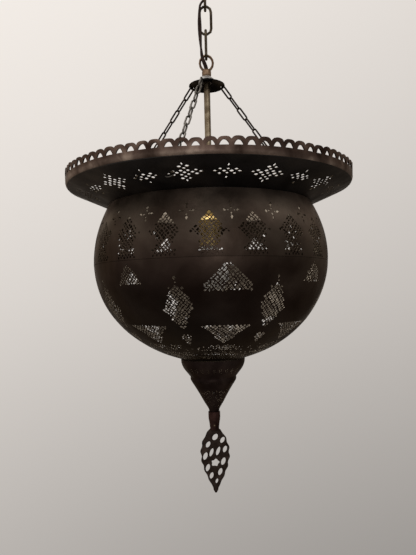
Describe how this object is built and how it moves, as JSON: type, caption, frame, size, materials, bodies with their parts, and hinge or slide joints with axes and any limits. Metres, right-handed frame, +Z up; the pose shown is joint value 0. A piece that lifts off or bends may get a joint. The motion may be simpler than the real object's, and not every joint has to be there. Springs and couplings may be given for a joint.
{
  "type": "pierced brass hanging lamp",
  "caption": "Pierced globe lamp with a wide galleried brim, hung on chains from a plate on a stem, with a cone finial and a leaf pendant.",
  "frame": {"origin": "the middle of the ceiling plate's top face, where it meets the ceiling", "axes": "+Z up into the ceiling, -Y towards the viewer of the picture, +X to that viewer's right"},
  "size_m": [0.4565, 0.4568, 0.8792],
  "materials": {
    "dark_steel": "darkened wire, satin",
    "bright_brass": "brass, handled and lightly tarnished",
    "aged_brass": "sheet brass with a dark brown patina",
    "reddish_brass": "sheet brass with a reddish brown patina",
    "copper_brown": "dark reddish brown patina",
    "black_metal": "black, satin",
    "black_bush": "black plastic, satin",
    "brown_cord": "brown twisted flex, satin",
    "porcelain": "glazed porcelain",
    "aluminium": "bare aluminium screw cap",
    "frosted_glass": "frosted glass"
  },
  "bodies": {
    "ceiling": {"ceiling_plate": "dark_steel", "ceiling_rose": "bright_brass", "cord_bush": "black_bush", "ceiling_hook": "dark_steel"},
    "link_a": {"top_link_a": "dark_steel", "cord_1": "brown_cord"},
    "link_b": {"top_link_b": "dark_steel", "cord_2": "brown_cord"},
    "link_c": {"top_link_c": "dark_steel", "cord_3": "brown_cord"},
    "lamp": {"suspension_loop": "bright_brass", "plate_collar": "bright_brass", "stem_tube": "bright_brass", "stem_nut": "dark_steel", "lampholder_cap": "bright_brass", "lampholder_shell": "bright_brass", "lampholder_liner": "porcelain", "cord_4": "brown_cord"},
    "bulb": {"bulb_cap": "aluminium", "bulb_glass": "frosted_glass"},
    "shade": {"chain_plate": "black_metal", "chain_1_link_1": "dark_steel", "chain_1_link_2": "dark_steel", "chain_1_link_3": "dark_steel", "chain_1_link_4": "dark_steel", "chain_1_link_5": "dark_steel", "chain_1_link_6": "dark_steel", "chain_1_link_7": "dark_steel", "chain_1_links_8_9": "dark_steel", "chain_1_links_10_11": "dark_steel", "chain_1_brim_ring": "dark_steel", "chain_2_link_1": "dark_steel", "chain_2_link_2": "dark_steel", "chain_2_link_3": "dark_steel", "chain_2_link_4": "dark_steel", "chain_2_link_5": "dark_steel", "chain_2_link_6": "dark_steel", "chain_2_link_7": "dark_steel", "chain_2_links_8_9": "dark_steel", "chain_2_links_10_11": "dark_steel", "chain_2_brim_ring": "dark_steel", "chain_3_link_1": "dark_steel", "chain_3_link_2": "dark_steel", "chain_3_link_3": "dark_steel", "chain_3_link_4": "dark_steel", "chain_3_link_5": "dark_steel", "chain_3_link_6": "dark_steel", "chain_3_link_7": "dark_steel", "chain_3_links_8_9": "dark_steel", "chain_3_links_10_11": "dark_steel", "chain_3_brim_ring": "dark_steel", "brim": "aged_brass", "gallery": "reddish_brass", "bowl_upper": "aged_brass", "bowl_lower": "aged_brass", "finial_cup": "copper_brown", "finial_cone": "copper_brown", "leaf_socket": "copper_brown", "leaf_pin": "bright_brass"},
    "leaf": {"leaf_pendant": "copper_brown"}
  },
  "joints": [
    {"name": "link_a_swing", "type": "hinge", "parent": "ceiling", "child": "link_a", "pos_m": [0, 0, -0.0464], "axis": [1, 0, 0], "range_deg": [-25, 25], "deforming": ["cord_1"]},
    {"name": "link_b_swing", "type": "hinge", "parent": "link_a", "child": "link_b", "pos_m": [0, 0, -0.0862], "axis": [0, 1, 0], "range_deg": [-25, 25], "deforming": ["cord_2"]},
    {"name": "link_c_swing", "type": "hinge", "parent": "link_b", "child": "link_c", "pos_m": [0, 0, -0.1263], "axis": [1, 0, 0], "range_deg": [-25, 25], "deforming": ["cord_3"]},
    {"name": "lamp_swing", "type": "hinge", "parent": "link_c", "child": "lamp", "pos_m": [0, 0, -0.1664], "axis": [0, 1, 0], "range_deg": [-25, 25], "deforming": ["cord_4"]},
    {"name": "shade_turn", "type": "hinge", "parent": "lamp", "child": "shade", "pos_m": [0, 0, -0.2028], "axis": [0, 0, 1], "continuous": true},
    {"name": "bulb_turn", "type": "hinge", "parent": "lamp", "child": "bulb", "pos_m": [0, 0, -0.46], "axis": [0, 0, 1], "continuous": true},
    {"name": "leaf_swing", "type": "hinge", "parent": "shade", "child": "leaf", "pos_m": [0, 0, -0.7672], "axis": [0, 1, 0], "range_deg": [-75, 75]}
  ]
}
